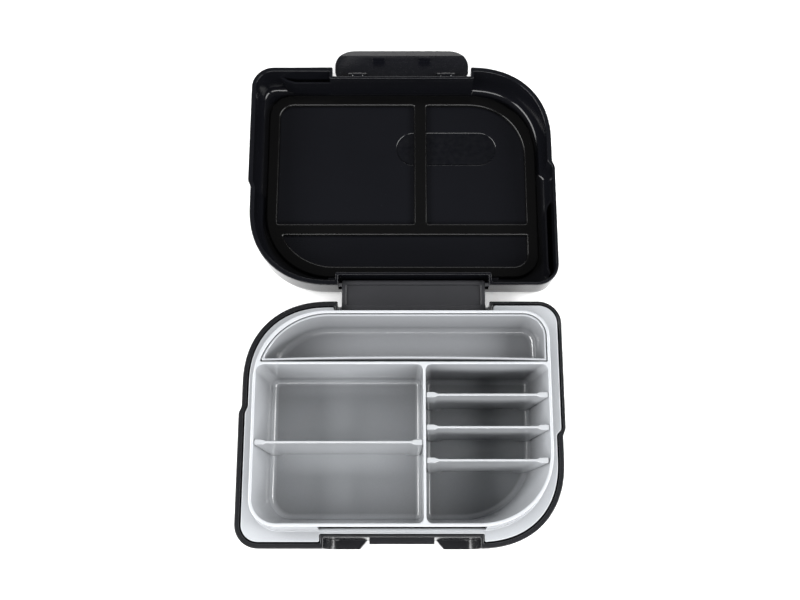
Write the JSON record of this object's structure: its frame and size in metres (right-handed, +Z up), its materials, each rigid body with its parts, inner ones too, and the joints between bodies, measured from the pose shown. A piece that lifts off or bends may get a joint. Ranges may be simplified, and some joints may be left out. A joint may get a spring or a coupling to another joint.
{
  "type": "bento lunch box",
  "caption": "Hinged lunch box laid open: base with lift-out compartment tray, freezer tray and dividers, linked by a double hinge to a lid with seal and front latch.",
  "frame": {"origin": "centre of the flat underside of the base", "axes": "+X across the box, +Y from the front of the base towards the open lid, +Z up"},
  "size_m": [0.2484, 0.4179, 0.056],
  "materials": {
    "shell": "charcoal moulded plastic, satin gloss",
    "lid": "black moulded plastic, glossy inside",
    "hinge": "charcoal moulded plastic, satin",
    "latch": "black moulded plastic, satin",
    "badge": "charcoal plastic inlay, satin, blank",
    "tray": "cool light grey moulded plastic, satin gloss",
    "ice_tray": "cool grey moulded plastic, satin gloss",
    "divider": "light grey moulded plastic, satin gloss",
    "plug": "grey plastic plug",
    "gel": "pale blue freezing gel",
    "seal": "matte black silicone",
    "steel": "drawn steel wire"
  },
  "bodies": {
    "base": {"base_shell": "shell"},
    "hinge": {"hinge_plate": "hinge", "base_hinge_pin": "steel", "lid_hinge_pin": "steel"},
    "lid": {"lid_shell": "lid", "lid_seal": "seal", "lid_badge": "badge", "latch_pins": "steel"},
    "latch": {"latch_lever": "latch"},
    "tray": {"food_tray": "tray"},
    "ice_tray": {"ice_pan": "ice_tray", "ice_cover": "ice_tray", "ice_gel": "gel", "ice_plug": "plug"},
    "left_divider": {"divider_left": "divider"},
    "back_divider": {"divider_back": "divider"},
    "middle_divider": {"divider_middle": "divider"},
    "front_divider": {"divider_front": "divider"}
  },
  "joints": [
    {"name": "base_hinge", "type": "hinge", "parent": "base", "child": "hinge", "pos_m": [0.0092, 0.0915, 0.021], "axis": [-1, 0, 0], "range_deg": [-90, 0]},
    {"name": "lid_hinge", "type": "hinge", "parent": "hinge", "child": "lid", "pos_m": [0.0092, 0.1118, 0.021], "axis": [-1, 0, 0], "range_deg": [-90, 0]},
    {"name": "latch_hinge", "type": "hinge", "parent": "lid", "child": "latch", "pos_m": [0, 0.2948, 0.021], "axis": [-1, 0, 0], "range_deg": [-100, 0]},
    {"name": "tray_lift", "type": "slide", "parent": "base", "child": "tray", "axis": [0, 0, 1], "range_m": [0, 0.08]},
    {"name": "ice_tray_lift", "type": "slide", "parent": "tray", "child": "ice_tray", "axis": [0, 0, 1], "range_m": [0, 0.06]},
    {"name": "left_divider_lift", "type": "slide", "parent": "tray", "child": "left_divider", "axis": [0, 0, 1], "range_m": [0, 0.055]},
    {"name": "back_divider_lift", "type": "slide", "parent": "tray", "child": "back_divider", "axis": [0, 0, 1], "range_m": [0, 0.055]},
    {"name": "middle_divider_lift", "type": "slide", "parent": "tray", "child": "middle_divider", "axis": [0, 0, 1], "range_m": [0, 0.055]},
    {"name": "front_divider_lift", "type": "slide", "parent": "tray", "child": "front_divider", "axis": [0, 0, 1], "range_m": [0, 0.055]}
  ]
}
